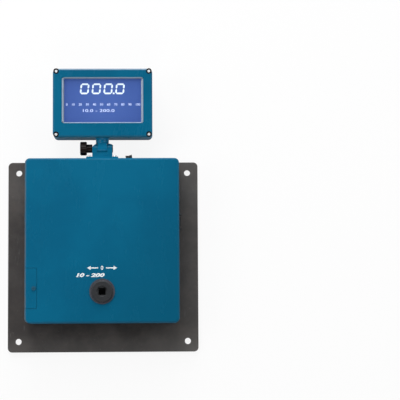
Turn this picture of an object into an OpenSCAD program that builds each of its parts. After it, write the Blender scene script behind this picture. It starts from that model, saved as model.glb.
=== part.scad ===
// Bench torque tester: a square drive in a low blue cover on a mounting plate,
// with a tilting display head on a friction hinge at the top edge.
// The tester lies on its back. The origin is the centre of the four mounting holes on the back face,
// +X runs to the right, +Y towards the display and +Z out of the face.

/* [Base plate] */
// Side of the square mounting plate
plate_w = 342.9; // [336:0.1:360]
// Thickness of the plate
plate_t = 9.5; // [8:0.5:14]
// Radius of the plate's corners
plate_corner_r = 8; // [4:1:14]
// Distance of the mounting holes from the plate's edges
mount_inset = 19.05; // [18:0.05:20]
// Diameter of a mounting hole
mount_hole_d = 11.12; // [8:0.01:13]

/* [Cover] */
// Width of the cover
cover_w = 273; // [268:1:280]
// Length of the cover
cover_l = 291.6; // [286:0.2:296]
// Height of the cover above the plate
cover_h = 76.2; // [74:0.1:84]
// Thickness of the cover's sheet
sheet_t = 2; // [1.5:0.1:3]
// Radius of the cover's upright corners
cover_corner_r = 8.5; // [7:0.5:12]
// Radius of the cover's front edge
cover_edge_r = 3.5; // [3:0.5:5]
// Width of a fixing tab inside the cover
tab_w = 24; // [18:1:28]
// Length of a fixing tab
tab_l = 16; // [14:1:18]
// Diameter of the cover screws
cover_screw_d = 5; // [4:0.5:5]
// Distance of the tabs on the end walls from the middle line
tab_spread = 90; // [86:1:96]
// Distance of the lowest side tab from the cover's lower end
tab_low = 16; // [15:0.5:18]
// Distance of the middle side tab below the cover's middle
tab_mid = 29.65; // [26:0.05:31]
// Distance of the highest side tab below the cover's top wall
tab_high = 37.45; // [32:0.05:39]

/* [Drive] */
// Distance of the drive's axis above the cover's lower end
drive_up = 55.15; // [54:0.05:58]
// Size of the square socket
drive_sq = 12.85; // [12.7:0.05:13.1]
// Depth of the square socket
drive_depth = 18; // [14:1:20]
// Diameter of the drive head
head_d = 38; // [34:1:40]
// Height of the drive head above the cover
head_rise = 6.5; // [4:0.5:9]
// Outer diameter of the rubber seal round the head
seal_d = 45; // [44:1:50]
// Diameter of the transducer's flange
flange_d = 101.6; // [96:0.1:104]
// Thickness of the transducer's flange
flange_t = 12.7; // [10:0.1:14]
// Diameter of the gauged shaft
shaft_d = 34; // [30:1:36]
// Diameter of the flange's screws
flange_screw_d = 8; // [6:1:8]
// Number of the flange's screws
flange_screws = 8; // [6:1:8]

/* [Battery bay] */
// Width of the access door on the cover's front
door_w = 21.4; // [19:0.1:24]
// Length of the access door
door_l = 70.8; // [70:0.1:76]
// Distance of the door's lower end above the cover's lower end
door_up = 25.8; // [24:0.1:28]
// Height of the door's lower edge on the side wall, above the plate
door_side_up = 10.5; // [9:0.5:12]
// Gap round the door
door_gap = 0.6; // [0.4:0.1:0.8]
// Diameter of a battery cell
cell_d = 26.2; // [24:0.1:26.2]
// Length of a battery cell
cell_l = 50; // [44:1:50]
// Diameter of the door's screw
door_screw_d = 4; // [3:0.5:4]

/* [Hinge] */
// Height of the hinge's axis above the cover's top wall
pivot_up = 19.55; // [19.5:0.05:21]
// Distance of the hinge's axis behind the cover's front
pivot_back = 25.7; // [24:0.1:27]
// Width of the display arm's tongue
tongue_w = 16.6; // [14:0.1:18]
// Thickness of a friction washer
washer_t = 0.5; // [0.4:0.1:0.8]
// Width of each hinge ear
ear_w = 8.9; // [8:0.1:10]
// Radius of the hinge knuckle
knuckle_r = 9; // [8:0.1:9]
// Diameter of the pivot bolt
pivot_d = 8; // [6:0.5:8]
// Diameter of the bolt's head
bolt_head_d = 13.5; // [12:0.5:14]
// Width of the hinge's base flange
hinge_w = 57; // [54:1:60]
// Depth of the hinge's base flange
hinge_d = 40; // [38:1:42]
// Thickness of the hinge's base flange
hinge_t = 3; // [2.5:0.5:4]
// Diameter of the collar under the display
collar_d = 23; // [21:0.5:23]
// Diameter of the clamp knob's head
knob_d = 24.4; // [20:0.2:28]
// Thickness of the clamp knob's head
knob_t = 11.7; // [9:0.1:14]
// Diameter of the clamp knob's hub
hub_d = 15; // [14:0.5:17]
// Length of the clamp knob's hub
hub_l = 9.9; // [8:0.1:12]

/* [Display] */
// Width of the display head
disp_w = 177; // [174:0.5:184]
// Height of the display head along the tester
disp_l = 123; // [120:0.5:128]
// Depth of the display head
disp_d = 50; // [48:1:52]
// Gap between the hinge's knuckle axis and the display's lower wall
disp_up = 18; // [17.5:0.1:19]
// Distance of the display's middle to the right of the hinge's middle
disp_shift = 1; // [0:0.5:2]
// Radius of the display's corners
disp_corner_r = 8; // [7:0.5:10]
// Radius of the display's front and back edges
disp_edge_r = 3.5; // [3:0.5:4]
// Thickness of the display housing's walls
disp_wall = 3; // [2.5:0.5:3]
// Thickness of the display's front lid
lid_t = 5.4; // [5:0.1:7]
// Distance of the window from the display's side edges
window_side = 16.25; // [15.5:0.25:18]
// Distance of the window from the display's end edges, were it centred
window_end = 20.25; // [19.5:0.25:21.5]
// Distance of the window above the lid's middle
window_up = 4.5; // [3:0.5:5]
// Width of the screen's frame that shows at the window's sides
screen_side = 3.5; // [3:0.25:6]
// Width of the screen's frame that shows at the window's ends
screen_end = 2; // [1.75:0.25:4]
// Diameter of the lid screws' heads
lid_head_d = 6.4; // [5:0.1:7]
// Diameter of the lid screws
lid_screw_d = 3; // [2.5:0.5:3.5]

/* [Switch] */
// Distance of the power switch to the right of the middle
switch_x = 48; // [44:0.5:60]
// Width of the switch's bezel
switch_w = 14; // [14:0.5:16]
// Depth of the switch's bezel
switch_d = 10.6; // [10.6:0.2:12]
// Half of the rocker's travel
rocker_deg = 10; // [6:1:10]

/* [Sockets] */
// Distance of the data port below the cover's top wall
port_down = 109.45; // [106:0.05:116]
// Distance of the charging jack below the cover's top wall
jack_down = 71.45; // [68:0.05:78]

/* [Circuit board] */
// Length of the main board across the tester
board_w = 120; // [110:1:120]
// Width of the main board along the tester
board_l = 100; // [96:1:100]
// Height of the board's pillars
pillar_h = 12; // [10:0.5:14]

/* [Hidden] */
$fn = 48;

// Overrun of every cut past the face it opens
over = 1;
// Running clearance round pins and bolts
run_gap = 0.05;
// Clearance between parts that only pass each other
free_gap = 0.2;

// Levels
mount_pitch = plate_w - 2 * mount_inset;
front_z = plate_t + cover_h;
cover_top = plate_w / 2;
cover_mid = cover_top - cover_l / 2;
cover_low = cover_top - cover_l;
inner_w = cover_w - 2 * sheet_t;
inner_top = cover_top - sheet_t;
inner_low = cover_low + sheet_t;
inner_z = front_z - sheet_t;

// Cover fixings, with the tabs' local +X pointing inwards
tab_in = tab_l / 2;
side_tabs = [cover_low + tab_low, cover_mid - tab_mid, cover_top - tab_high];
tabs = concat(
    [for (y = side_tabs) [-inner_w / 2, y, 0]],
    [for (y = side_tabs) [inner_w / 2, y, 180]],
    [for (s = [-1, 1]) [s * tab_spread, inner_top, -90]],
    [for (s = [-1, 1]) [s * tab_spread, inner_low, 90]]
);
cover_screw_head_d = 2 * cover_screw_d;
cover_nut_wall = 2;
cover_nut_d = cover_screw_d + 2 * cover_nut_wall;
cover_key = 3;
cover_nut_h = 4;

// Battery bay
door_x = -cover_w / 2 + door_w;
door_y = cover_low + door_up;
door_mid = door_y + door_l / 2;
door_z = plate_t + door_side_up;
ledge_t = 1.5;
ledge_in = 4;
ledge_out = 5;
pad_w = 18;
pad_l = 16;
screw_inset = 5.1;
door_screw_x = door_x - screw_inset;
door_head_d = 7.4;
door_head_t = 1.8;
slot_w = 1;
slot_d = 0.9;
receptacle_d = 10;
receptacle_h = 2.6;
tray_wall = 2;
cell_gap = 0.4;
contact_room = 4;
tray_gap = 0.5;
tray_x = -inner_w / 2 + ledge_t + tray_gap;
tray_w = 2 * cell_d + 4 * cell_gap + tray_wall;
tray_l = cell_l + 2 * contact_room + 2 * tray_wall;
tray_z = door_z + ledge_in - tray_wall;
tray_h = 2 * cell_d + 2 * cell_gap + 2 * tray_wall;
foot_w = 12;
foot_l = 10;
foot_t = 2.5;
leg_w = 30;
tray_screw_d = 4;
tray_screw_head_d = 7;
tray_screw_head_h = 2.4;
foot_screw_out = 6;
contact_t = 0.6;
contact_size = 18;
spring_d = 12;
spring_wire = 1;
spring_turns = 3;
nub_d = 6;
nub_h = 1.5;

// Transducer and drive
drive_drop = -cover_low - drive_up;
shaft_under = 22;
shaft_top = front_z - shaft_under;
flange_top = plate_t + flange_t;
flange_edge = 9;
pcd = flange_d - 2 * flange_edge;
socket_head_d = 1.6 * flange_screw_d;
socket_head_h = flange_screw_d;
screw_tail = 1;
hex_key = 0.75 * flange_screw_d;
hex_depth = 4;
pilot_wall = 10;
pilot_d = shaft_d + 2 * pilot_wall;
pilot_h = 4;
sleeve_t = 2;
sleeve_under = 6;
sleeve_top = shaft_top - sleeve_under;
gauge_w = 10;
gauge_h = 12;
gauge_t = 0.5;
gauge_z = (flange_top + shaft_top) / 2;
spigot_d = 18;
spigot_l = 13;
pin_d = 6;
pin_z = shaft_top - spigot_l / 2;
head_top = front_z + head_rise;
head_chamfer = 1.5;
lead_in = 2;
seal_gap = 0.2;
seal_neck = 2;
seal_flange = 1.5;
gland_d = 7;
gland_l = 4;
gland_up = 32.5;
gland_z = plate_t + gland_up;

// Hinge
pivot_y = cover_top + pivot_up;
pivot_z = front_z - pivot_back;
washer_gap = 0.1;
ear_in = tongue_w / 2 + washer_gap + washer_t;
ear_out = ear_in + ear_w;
slot_gap = 1.5;
slot_floor = pivot_y - knuckle_r - slot_gap;
hinge_screw_x = 23;
hinge_screw_z = 13;
hinge_screw_d = 4;
hinge_head_d = 7;
hinge_head_h = 2.6;
backing_t = 3;
wire_hole_d = 6;
wire_wall_hole_d = 8;
collar_clear = 0.5;
bolt_head_t = 5;
bolt_proud = 1;
bolt_key = 6;
washer_d = 16;
chamfer_left = [7, 6.3];
chamfer_right = [5, 2.4];
insert_d = 11;
insert_l = 14;
bolt_end = ear_out + insert_l - over;
flutes = 12;
flute_d = 4.4;
knob_edge = 1.2;
dish_d = 15;
dish_h = 1;

// Display
disp_low = pivot_y + disp_up;
disp_mid = disp_low + disp_l / 2;
disp_under = 0.7;
disp_front = front_z - disp_under;
disp_back = disp_front - disp_d;
gasket_t = 0.6;
gasket_w = 3;
lid_back = disp_front - lid_t;
housing_top = lid_back - gasket_t;
lid_screw_in = [6, 4.8];
lid_screw_x = disp_w / 2 - lid_screw_in[0];
lid_screw_y = disp_l / 2 - lid_screw_in[1];
lid_cbore_d = lid_head_d + 4 * free_gap;
lid_cbore = 2.4;
lid_head_h = 2;
lid_screw_l = 14;
boss_d = 8.5;
window_mid = disp_mid + window_up;
window_w = disp_w - 2 * window_side;
window_l = disp_l - 2 * window_end;
screen_w = window_w - 2 * screen_side;
screen_l = window_l - 2 * screen_end;
window_r = 3;
glass_t = 2;
glass_border = 3;
frame_border = 4;
frame_top = lid_back - free_gap;
frame_wall = 1.2;
board_t = 1.6;
panel_t = 2.6;
disp_board_under = 17;
disp_board_z = disp_front - disp_board_under;
disp_board_border = [2.75, 4.75];
disp_board_w = window_w + 2 * disp_board_border[0];
disp_board_l = window_l + 2 * disp_board_border[1];
disp_header_low = 31;
disp_hole_in = [5, 3.5];
disp_hole_x = disp_board_w / 2 - disp_hole_in[0];
disp_hole_y = disp_board_l / 2 - disp_hole_in[1];
pillar_af = 5.5;
m3 = 3;
m3_head_d = 5.5;
m3_head_h = 1.8;
stud_l = 2;
thread_d = 16;
arm_nut_af = 22;
arm_nut_h = 6;
flare_h = 3;
flare_out = 1.6;
arm_bore_d = 7;

// Power switch, with the rocker's pivot in the plane of the top wall
switch_back = 24;
switch_z = front_z - switch_back;
switch_opening = [12.4, 8];
switch_block = [13, 9.6, 14];
switch_wall_gap = 0.1;
bezel_h = 1.2;
rocker_size = [11.4, 7.4];
rocker_top = 7.1;
rocker_foot = 1.5;
trunnion_d = 2;
trunnion_l = 0.6;
well_depth = 4;
terminal = [0.8, 4, 6];
terminal_x = 3.5;

// Sockets on the right wall
port_y = cover_top - port_down;
jack_y = cover_top - jack_down;
socket_up = 20.5;
socket_z = plate_t + socket_up;
port_shell = [17, 15, 8.4];
port_flange = [31, 12.6, 1.2];
port_body_d = 10;
port_out = 5.6;
port_cut_gap = 0.8;
port_screw_y = 12.5;
contact_hole_d = 1.1;
contact_pitch = 2.76;
contact_row = 1.4;
jackscrew_af = 4.8;
jackscrew_l = 5;
jackscrew_d = 3;
jackscrew_bore = 2.4;
jack_d = 11;
jack_l = 13;
jack_flange_d = 14;
jack_flange_t = 1.8;
jack_bore_d = 6.4;
jack_bore_l = 9;
jack_pin_d = 2;
jack_nut_af = 14;
jack_nut_h = 3;

// Boards
board_wall_gap = 4.5;
board_drop = 151.45;
board_x = inner_w / 2 - board_wall_gap - board_w;
board_y = cover_top - board_drop;
board_z = plate_t + pillar_h;
hole_inset = 6;
header = [16, 8, 8];
low_header_in = 18;
battery_header_up = 38;
jack_header_in = 102;
chip = [14, 14, 1.8];
chip_shares = [[0.42, 0.42], [0.42, 0.2]];
driver = [10, 6, 2];
driver_shares = [[0.2, 0.66], [0.34, 0.66], [0.48, 0.66]];
relay = [20, 10, 12];
relay_share = [0.62, 0.16];
can_d = 10;
can_h = 16;
can_shares = [[0.65, 0.62], [0.77, 0.62], [0.89, 0.62]];

// Routes of the leads: points chosen by hand along the tester
lead_d = 4;
thin_lead_d = 3;
lead_sides = 8;
lead_steps = 4;
lead_guide = [0.21, 0.34, 0.92];
function placed(anchor, points) = [for (p = points) anchor + p];
at_board = [board_x, board_y, 0];
at_board_top = [board_x, board_y + board_l, 0];
transducer_route = concat(
    placed([0, -drive_drop, 0], [[0, 29, 42], [0, 45, 42], [4, 61, 38]]),
    placed(at_board, [[10, -14, 28], [low_header_in, -8, 27], [low_header_in, 0, 27]])
);
battery_route = concat(
    placed([tray_x + tray_w, door_mid, 0], [[0, 18.95, 50], [12.5, 18.95, 50], [16.5, 48.95, 42]]),
    placed(at_board, [[-54, 10, 30], [-24, 38, 27], [0, 38, 27]])
);
switch_route = concat(
    placed([switch_x, cover_top, 0], [[0, -22.45, 62], [0, -31.45, 62], [0, -37.45, 46]]),
    placed([switch_x, board_y + board_l, 0], [[0, 10, 27], [0, 0, 27]])
);
jack_route = placed([cover_w / 2 - jack_l, jack_y, 0], [[0, 0, 30], [-5.5, 0, 30], [-7.5, 0, 27], [-11.5, 0, 27]]);
signal_route = concat(
    placed([0, cover_top, 0], [[0, 8.55, 60], [0, -13.45, 60], [2, -29.45, 52]]),
    placed(at_board_top, [[10, 14, 32], [low_header_in, 8, 27], [low_header_in, 0, 27]])
);
display_route = placed([0, pivot_y, pivot_z], [[0, 12, 0], [0, 35, 0], [0, 41, 1], [0, 46, 3], [0, 53, 3]]);

// Colours
blue = [0.05, 0.38, 0.52];
black = [0.08, 0.08, 0.08];
steel = [0.72, 0.72, 0.72];
dark_steel = [0.3, 0.29, 0.28];
brass = [0.8, 0.65, 0.3];
green = [0.1, 0.35, 0.2];
grey = [0.45, 0.45, 0.47];

// Rounded rectangle about the origin
module rounded_rect(w, l, r) {
    square([w - 2 * r, l], center = true);
    square([w, l - 2 * r], center = true);
    for (x = [-1, 1])
        for (y = [-1, 1])
            translate([x * (w / 2 - r), y * (l / 2 - r)])
                circle(r);
}

// Quarter of a disc, filling the corner between +X and +Y
module quarter(r) {
    intersection() {
        circle(r);
        square(r);
    }
}

// Slab on z = 0 with upright corners of radius r and a top edge of radius e
module soft_slab(w, l, t, r, e) {
    linear_extrude(t - e)
        rounded_rect(w, l, r);
    translate([0, 0, t - e]) {
        linear_extrude(e)
            rounded_rect(w - 2 * e, l - 2 * e, r - e);
        for (turn = [0, 180])
            rotate(turn) {
                translate([w / 2 - e, l / 2 - r, 0])
                    rotate([90, 0, 0])
                        linear_extrude(l - 2 * r)
                            quarter(e);
                translate([w / 2 - r, l / 2 - r, 0])
                    rotate_extrude(angle = 90)
                        translate([r - e, 0])
                            quarter(e);
                translate([-w / 2 + r, l / 2 - e, 0])
                    rotate([90, 0, 90])
                        linear_extrude(w - 2 * r)
                            quarter(e);
                translate([-w / 2 + r, l / 2 - r, 0])
                    rotate(90)
                        rotate_extrude(angle = 90)
                            translate([r - e, 0])
                                quarter(e);
            }
    }
}

// Extrudes a profile in (Y, Z) from x0 to x1
module along_x(x0, x1) {
    translate([x0, 0, 0])
        rotate([90, 0, 90])
            linear_extrude(x1 - x0)
                children();
}

// Extrudes a profile in (X, Z) from y0 to y1
module along_y(y0, y1) {
    translate([0, y1, 0])
        rotate([90, 0, 0])
            linear_extrude(y1 - y0)
                children();
}

// Round hole or rod along Z between two heights, with the cut's overrun when asked
module bar_z(d, z0, z1, extra = 0) {
    translate([0, 0, z0 - extra])
        cylinder(d = d, h = z1 - z0 + 2 * extra);
}

// Box given by two opposite corners
module block(a, b) {
    translate(a)
        cube(b - a);
}

// Hexagonal bar along Z, given across its flats
module hex_z(af, z0, z1) {
    translate([0, 0, z0])
        cylinder(d = af / cos(30), h = z1 - z0, $fn = 6);
}

// Pan-head screw along Z with its head's seat at z = 0, its shank below and a cross recess
module pan_screw(d, head_d, head_h, l) {
    difference() {
        union() {
            bar_z(head_d, 0, head_h);
            bar_z(d, -l, 0);
        }
        for (turn = [0, 90])
            rotate(turn)
                block([-head_d / 3, -head_d / 16, head_h / 2], [head_d / 3, head_d / 16, head_h + over]);
    }
}

// The four places of a rectangle with its middle at the origin
module corners(x, y) {
    for (sx = [-1, 1])
        for (sy = [-1, 1])
            translate([sx * x, sy * y, 0])
                children();
}

module at_mounts() {
    corners(mount_pitch / 2, mount_pitch / 2)
        children();
}

module at_tabs() {
    for (t = tabs)
        translate([t[0], t[1], plate_t])
            rotate(t[2])
                children();
}

module at_flange_screws() {
    translate([0, -drive_drop, 0])
        for (i = [0:flange_screws - 1])
            rotate(360 * (i + 0.5) / flange_screws)
                translate([pcd / 2, 0, 0])
                    children();
}

module at_board_holes() {
    translate([board_x + board_w / 2, board_y + board_l / 2, 0])
        corners(board_w / 2 - hole_inset, board_l / 2 - hole_inset)
            children();
}

module at_tray_feet() {
    translate([tray_x + tray_w / 2, door_mid, 0])
        for (turn = [0, 180])
            rotate(turn)
                translate([0, tray_l / 2 + foot_screw_out, 0])
                    children();
}

module at_hinge_screws() {
    for (x = [-1, 1])
        for (z = [-1, 1])
            translate([x * hinge_screw_x, 0, pivot_z + z * hinge_screw_z])
                rotate([-90, 0, 0])
                    children();
}

module at_lid_screws() {
    translate([disp_shift, disp_mid, 0])
        corners(lid_screw_x, lid_screw_y)
            children();
}

module at_display_holes() {
    translate([disp_shift, window_mid, 0])
        corners(disp_hole_x, disp_hole_y)
            children();
}

module on_pivot() {
    translate([0, pivot_y, pivot_z])
        rotate([0, 90, 0])
            children();
}

// Route with each inner corner rounded by a parabola
function curve_point(a, b, c, t) =
    (1 - t) * (1 - t) * (a + b) / 2 + 2 * t * (1 - t) * b + t * t * (b + c) / 2;
function smooth_route(p, n) = concat(
    [p[0]],
    [for (k = [1:len(p) - 2]) for (i = [0:n]) if (i < n || k == len(p) - 2)
        curve_point(p[k - 1], p[k], p[k + 1], i / n)],
    [p[len(p) - 1]]
);
function unit(v) = v / norm(v);
function heading(q, i) = unit(q[min(i + 1, len(q) - 1)] - q[max(i - 1, 0)]);

// Round tube swept along a list of points
module sweep(q, d) {
    rings = [for (i = [0:len(q) - 1])
        let (t = heading(q, i), u = unit(cross(t, lead_guide)), v = cross(t, u))
        for (j = [0:lead_sides - 1])
            let (a = 360 * j / lead_sides)
            q[i] + d / 2 * (cos(a) * u + sin(a) * v)];
    sides = [for (i = [0:len(q) - 2]) for (j = [0:lead_sides - 1])
        let (k = (j + 1) % lead_sides, m = i * lead_sides)
        [m + j, m + lead_sides + j, m + lead_sides + k, m + k]];
    first = [for (j = [0:lead_sides - 1]) j];
    last = [for (j = [lead_sides - 1:-1:0]) (len(q) - 1) * lead_sides + j];
    polyhedron(rings, concat(sides, [first, last]));
}

module lead(route, d) {
    sweep(smooth_route(route, lead_steps), d);
}

module base_plate() {
    color(dark_steel)
        difference() {
            linear_extrude(plate_t)
                rounded_rect(plate_w, plate_w, plate_corner_r);
            at_mounts()
                bar_z(mount_hole_d, 0, plate_t, over);
            at_tabs()
                translate([tab_in, 0, -plate_t]) {
                    bar_z(cover_screw_d + 2 * free_gap, 0, plate_t, over);
                    translate([0, 0, -over])
                        cylinder(d1 = cover_screw_head_d + 2 * over + 2 * free_gap,
                            d2 = cover_screw_d + 2 * free_gap,
                            h = (cover_screw_head_d - cover_screw_d) / 2 + over);
                }
            at_flange_screws()
                bar_z(flange_screw_d, 0, plate_t, over);
            at_board_holes()
                bar_z(m3, plate_t - 3 * stud_l, plate_t + over);
            at_tray_feet()
                bar_z(tray_screw_d, plate_t - 3 * stud_l, plate_t + over);
        }
}

// Outer shape of the cover, drawn in by a margin and longer at the open side by a cut's overrun
module cover_shape(margin, extra = 0) {
    translate([0, cover_mid, plate_t - extra])
        soft_slab(cover_w - 2 * margin, cover_l - 2 * margin, cover_h - margin + extra,
            cover_corner_r - margin, max(cover_edge_r - margin, free_gap));
}

module door_zone(grow_x, grow_y, grow_z) {
    block([-cover_w, door_y - grow_y, door_z - grow_z],
        [door_x + grow_x, door_y + door_l + grow_y, front_z + over]);
}

// Outline of the data port's shell in (Y, Z)
module port_outline(grow) {
    half = port_shell[2] / 2 + grow;
    polygon([
        [port_y - port_shell[1] / 2 - grow, socket_z - half],
        [port_y + port_shell[1] / 2 + grow, socket_z - half],
        [port_y + port_shell[0] / 2 + grow, socket_z + half],
        [port_y - port_shell[0] / 2 - grow, socket_z + half]
    ]);
}

module housing_cover() {
    color(blue) {
        difference() {
            cover_shape(0);
            cover_shape(sheet_t, over);
            door_zone(door_gap, door_gap, door_gap);
            translate([0, -drive_drop, 0])
                bar_z(seal_d - 2 * seal_neck, inner_z, front_z, over);
            along_y(inner_top - over, cover_top + over) {
                translate([0, pivot_z])
                    circle(d = wire_wall_hole_d);
                translate([switch_x, switch_z])
                    square([switch_block[0] + 2 * switch_wall_gap, switch_block[1] + 2 * switch_wall_gap],
                        center = true);
            }
            at_hinge_screws()
                bar_z(hinge_screw_d + free_gap, inner_top, cover_top, over);
            along_x(inner_w / 2 - over, cover_w / 2 + over) {
                port_outline(port_cut_gap);
                for (s = [-1, 1])
                    translate([port_y + s * port_screw_y, socket_z])
                        circle(d = jackscrew_d + free_gap);
                translate([jack_y, socket_z])
                    circle(d = jack_d + free_gap);
            }
        }
        at_tabs()
            difference() {
                block([0, -tab_w / 2, 0], [tab_l, tab_w / 2, sheet_t]);
                translate([tab_in, 0, 0])
                    bar_z(cover_screw_d + 2 * free_gap, 0, sheet_t, over);
            }
    }
}

module cover_screws() {
    head_h = (cover_screw_head_d - cover_screw_d) / 2;
    color(steel)
        at_tabs()
            translate([tab_in, 0, -plate_t])
                difference() {
                    union() {
                        translate([0, 0, free_gap])
                            cylinder(d1 = cover_screw_head_d, d2 = cover_screw_d, h = head_h);
                        bar_z(cover_screw_d, free_gap, plate_t + sheet_t + cover_nut_h);
                    }
                    hex_z(cover_key, 0, head_h);
                }
}

module cover_nuts() {
    color(steel)
        at_tabs()
            translate([tab_in, 0, sheet_t])
                difference() {
                    bar_z(cover_nut_d, 0, cover_nut_h);
                    bar_z(cover_screw_d + 2 * run_gap, 0, cover_nut_h, over);
                }
}

module door_frame() {
    color(blue)
        difference() {
            union() {
                difference() {
                    intersection() {
                        cover_shape(sheet_t);
                        door_zone(ledge_out, ledge_out, ledge_out);
                    }
                    cover_shape(sheet_t + ledge_t, over);
                    door_zone(-ledge_in, -ledge_in, -ledge_in);
                }
                block([door_x - pad_w, door_mid - pad_l / 2, inner_z - ledge_t],
                    [door_x, door_mid + pad_l / 2, inner_z]);
            }
            translate([door_screw_x, door_mid, 0])
                bar_z(door_screw_d + 2 * free_gap, inner_z - ledge_t, inner_z, over);
        }
}

module battery_door() {
    color(blue)
        difference() {
            intersection() {
                cover_shape(0);
                door_zone(0, 0, 0);
            }
            cover_shape(sheet_t - free_gap / 2, over);
            translate([door_screw_x, door_mid, 0])
                bar_z(door_screw_d + 2 * run_gap, inner_z, front_z, over);
        }
}

module door_screw() {
    color(steel)
        translate([door_screw_x, door_mid, 0])
            difference() {
                union() {
                    bar_z(door_head_d, front_z + run_gap, front_z + door_head_t);
                    bar_z(door_screw_d, inner_z - ledge_t - receptacle_h + free_gap,
                        front_z + door_head_t / 2);
                }
                block([-door_head_d, -slot_w / 2, front_z + door_head_t - slot_d],
                    [door_head_d, slot_w / 2, front_z + door_head_t + over]);
            }
}

module door_receptacle() {
    color(steel)
        translate([door_screw_x, door_mid, inner_z - ledge_t - receptacle_h])
            difference() {
                bar_z(receptacle_d, 0, receptacle_h);
                bar_z(door_screw_d + 2 * run_gap, 0, receptacle_h, over);
            }
}

module battery_tray() {
    tray_y = door_mid - tray_l / 2;
    color(black) {
        difference() {
            block([tray_x, tray_y, tray_z], [tray_x + tray_w, tray_y + tray_l, tray_z + tray_h]);
            block([tray_x - over, tray_y + tray_wall, tray_z + tray_wall],
                [tray_x + tray_w - tray_wall, tray_y + tray_l - tray_wall, tray_z + tray_h - tray_wall]);
        }
        at_tray_feet()
            difference() {
                block([-foot_w / 2, -foot_screw_out - tray_wall, plate_t],
                    [foot_w / 2, foot_l / 2, plate_t + foot_t]);
                bar_z(tray_screw_d + free_gap, plate_t, plate_t + foot_t, over);
            }
        translate([tray_x + tray_w / 2, door_mid, 0])
            for (s = [-1, 1])
                translate([0, s * (tray_l - tray_wall) / 2, 0])
                    block([-leg_w / 2, -tray_wall / 2, plate_t], [leg_w / 2, tray_wall / 2, tray_z]);
    }
}

module tray_screws() {
    color(steel)
        at_tray_feet()
            translate([0, 0, plate_t + foot_t])
                pan_screw(tray_screw_d, tray_screw_head_d, tray_screw_head_h, foot_t + 2 * stud_l);
}

// The middles of the four cells, in (X, Z)
module at_cells() {
    for (i = [0, 1])
        for (k = [0, 1])
            translate([tray_x + cell_gap + (i + 0.5) * (cell_d + cell_gap), 0,
                tray_z + tray_wall + cell_gap / 2 + (k + 0.5) * (cell_d + cell_gap / 2)])
                mirror([0, (i + k) % 2, 0])
                    rotate([-90, 0, 0])
                        children();
}

module battery_cells() {
    color([0.75, 0.6, 0.2])
        translate([0, door_mid, 0])
            at_cells()
                translate([0, 0, -cell_l / 2]) {
                    bar_z(cell_d - cell_gap / 2, 0, cell_l - nub_h);
                    bar_z(nub_d, cell_l - 2 * nub_h, cell_l);
                }
}

module battery_contacts() {
    spring_r = (spring_d - spring_wire) / 2;
    room = contact_room - contact_t;
    turns = [for (i = [0:8 * spring_turns])
        [spring_r * cos(45 * i), spring_r * sin(45 * i),
            contact_t + spring_wire / 2 + (room - spring_wire) * i / (8 * spring_turns)]];
    color(steel)
        translate([0, door_mid, 0])
            at_cells() {
                translate([0, 0, -cell_l / 2 - contact_room]) {
                    block([-contact_size / 2, -contact_size / 2, 0],
                        [contact_size / 2, contact_size / 2, contact_t + spring_wire / 4]);
                    sweep(turns, spring_wire);
                }
                translate([0, 0, cell_l / 2])
                    difference() {
                        block([-contact_size / 2, -contact_size / 2, contact_room - contact_t],
                            [contact_size / 2, contact_size / 2, contact_room]);
                        bar_z(contact_t, 0, contact_room, over);
                    }
            }
}

module transducer_body() {
    color(steel)
        translate([0, -drive_drop, 0])
            difference() {
                union() {
                    bar_z(flange_d, plate_t, flange_top);
                    bar_z(pilot_d, flange_top, flange_top + pilot_h);
                    bar_z(shaft_d, flange_top, shaft_top);
                }
                bar_z(spigot_d, shaft_top - spigot_l, shaft_top + over);
                translate([0, 0, pin_z])
                    rotate([0, 90, 0])
                        bar_z(pin_d, -shaft_d / 2, shaft_d / 2, over);
                translate([0, drive_drop, 0])
                    at_flange_screws()
                        bar_z(flange_screw_d + 2 * free_gap, plate_t, flange_top, over);
            }
}

module transducer_screws() {
    color(black)
        at_flange_screws()
            difference() {
                union() {
                    bar_z(flange_screw_d, screw_tail, flange_top);
                    bar_z(socket_head_d, flange_top, flange_top + socket_head_h);
                }
                hex_z(hex_key, flange_top + socket_head_h - hex_depth, flange_top + socket_head_h + over);
            }
}

module strain_gauges() {
    color([0.85, 0.6, 0.25])
        translate([0, -drive_drop, gauge_z])
            for (turn = [45:90:315])
                rotate(turn)
                    intersection() {
                        difference() {
                            bar_z(shaft_d + 2 * gauge_t, -gauge_h / 2, gauge_h / 2);
                            bar_z(shaft_d, -gauge_h / 2, gauge_h / 2, over);
                        }
                        block([0, -gauge_w / 2, -gauge_h], [shaft_d, gauge_w / 2, gauge_h]);
                    }
}

module gauge_sleeve() {
    sleeve_d = pilot_d + 2 * sleeve_t;
    color(grey)
        translate([0, -drive_drop, 0])
            difference() {
                union() {
                    bar_z(sleeve_d, flange_top, sleeve_top);
                    translate([0, 0, gland_z])
                        rotate([-90, 0, 0])
                            bar_z(gland_d, pilot_d / 2, sleeve_d / 2 + gland_l);
                }
                bar_z(pilot_d, flange_top - over, sleeve_top - sleeve_t);
                bar_z(shaft_d + 2 * over, flange_top, sleeve_top + over);
                translate([0, 0, gland_z])
                    rotate([-90, 0, 0])
                        bar_z(lead_d, shaft_d / 2, sleeve_d / 2 + gland_l + over);
            }
}

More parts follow.
